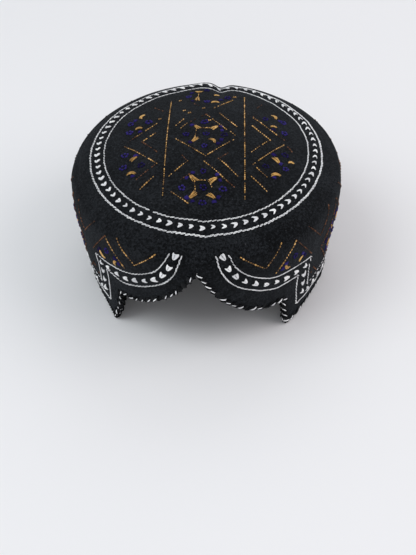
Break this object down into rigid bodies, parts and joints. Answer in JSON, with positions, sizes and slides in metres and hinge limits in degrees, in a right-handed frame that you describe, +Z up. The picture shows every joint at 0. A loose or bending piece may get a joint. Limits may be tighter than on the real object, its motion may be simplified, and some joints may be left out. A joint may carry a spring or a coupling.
{
  "type": "sindhi cap",
  "caption": "Stiff oval sindhi cap of dark cloth: tall side band with a scalloped arch cut in its front, low domed crown and an overcast hem edging, hollow for the head.",
  "frame": {"origin": "On the surface that the hem rests on, under the middle of the cap's box", "axes": "+X to the viewer's right, +Y from the front arch to the back, +Z up"},
  "size_m": [0.191, 0.2204, 0.1055],
  "materials": {
    "crown_cloth": "matte black cotton with white, gold and blue embroidery",
    "band_cloth": "matte black cotton with white and gold embroidery",
    "edging_thread": "black and white overcast thread"
  },
  "bodies": {
    "root": {"crown": "crown_cloth", "side_band": "band_cloth", "hem_edging": "edging_thread"}
  },
  "joints": []
}
